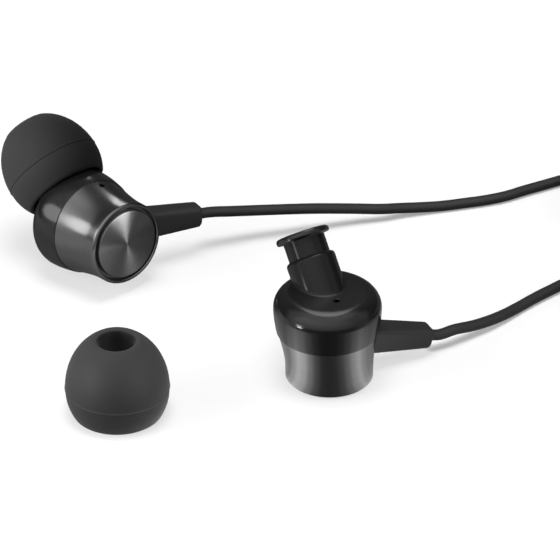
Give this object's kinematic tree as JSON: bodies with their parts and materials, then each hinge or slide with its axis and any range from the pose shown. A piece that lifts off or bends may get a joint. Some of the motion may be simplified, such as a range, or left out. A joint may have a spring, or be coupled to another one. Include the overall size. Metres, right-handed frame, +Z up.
{
  "type": "wired earphones",
  "caption": "Wired in-ear earphones with angled nozzles, domed silicone ear tips, flared metal rear cans, strain reliefs and a thin cable wound up to a straight jack plug.",
  "frame": {"origin": "centre of the right earbud's closed end, on the surface that it stands on", "axes": "+Z up along the right earbud's can, +X right towards the side where the cable leaves, +Y away from the front"},
  "size_m": [0.1421, 0.0615, 0.0181],
  "materials": {
    "gloss_housing": "moulded ABS, polished black with a matte deck",
    "gunmetal_can": "turned and brushed, dark anodised",
    "spun_cap": "turned disc with fine concentric lines",
    "silicone_tip": "moulded silicone, matte",
    "relief_rubber": "moulded soft PVC, matte",
    "cable_jacket": "extruded TPE jacket, satin",
    "mesh_steel": "woven screen",
    "felt": "acoustic felt and foam",
    "driver_plastic": "moulded frame",
    "film": "formed polyester film",
    "copper": "enamelled copper wire",
    "magnet_steel": "nickel plated",
    "board": "solder-masked fibreglass",
    "plug_plastic": "moulded grip, satin",
    "gold": "gold plated"
  },
  "bodies": {
    "earphones": {"front_housing_right": "gloss_housing", "rear_can_right": "gunmetal_can", "end_cap_right": "spun_cap", "nozzle_mesh_right": "mesh_steel", "nozzle_damper_right": "felt", "vent_screen_right": "felt", "front_gasket_right": "felt", "driver_frame_right": "driver_plastic", "surround_right": "film", "top_plate_right": "magnet_steel", "magnet_right": "magnet_steel", "yoke_right": "magnet_steel", "driver_board_right": "board", "signal_wire_plus_right": "copper", "signal_wire_minus_right": "copper", "cable_stop_right": "relief_rubber", "inner_lead_right": "cable_jacket", "strain_relief_right": "relief_rubber", "front_housing_left": "gloss_housing", "rear_can_left": "gunmetal_can", "end_cap_left": "spun_cap", "nozzle_mesh_left": "mesh_steel", "nozzle_damper_left": "felt", "vent_screen_left": "felt", "front_gasket_left": "felt", "driver_frame_left": "driver_plastic", "surround_left": "film", "top_plate_left": "magnet_steel", "magnet_left": "magnet_steel", "yoke_left": "magnet_steel", "driver_board_left": "board", "signal_wire_plus_left": "copper", "signal_wire_minus_left": "copper", "cable_stop_left": "relief_rubber", "inner_lead_left": "cable_jacket", "strain_relief_left": "relief_rubber", "lead_right": "cable_jacket", "lead_coil_right": "cable_jacket", "lead_tail_right": "cable_jacket", "lead_left": "cable_jacket", "lead_coil_left": "cable_jacket", "lead_tail_left": "cable_jacket", "splitter": "relief_rubber", "trunk": "cable_jacket", "trunk_coil": "cable_jacket", "trunk_end": "cable_jacket", "plug_relief": "relief_rubber", "plug_grip": "plug_plastic", "plug_sleeve": "gold", "plug_ring": "gold", "plug_tip": "gold", "sleeve_insulator": "plug_plastic", "tip_insulator": "plug_plastic"},
    "fitted_tip": {"ear_tip_left": "silicone_tip"},
    "loose_tip": {"ear_tip_right": "silicone_tip"},
    "dome_left": {"diaphragm_left": "film", "voice_coil_left": "copper"},
    "dome_right": {"diaphragm_right": "film", "voice_coil_right": "copper"}
  },
  "joints": [
    {"name": "fitted_tip_pull", "type": "slide", "parent": "earphones", "child": "fitted_tip", "axis": [-0.5313, 0.6254, 0.5715], "range_m": [0, 0.012], "deforming": ["ear_tip_left"]},
    {"name": "loose_tip_lift", "type": "slide", "parent": "earphones", "child": "loose_tip", "axis": [0, 0, 1], "range_m": [0, 0.02]},
    {"name": "dome_travel_left", "type": "slide", "parent": "earphones", "child": "dome_left", "axis": [-0.6488, 0.7579, -0.0688], "range_m": [-0.0002, 0.0002], "stiffness_N_per_m": 20},
    {"name": "dome_travel_right", "type": "slide", "parent": "earphones", "child": "dome_right", "axis": [0, 0, 1], "range_m": [-0.0002, 0.0002], "stiffness_N_per_m": 20}
  ]
}
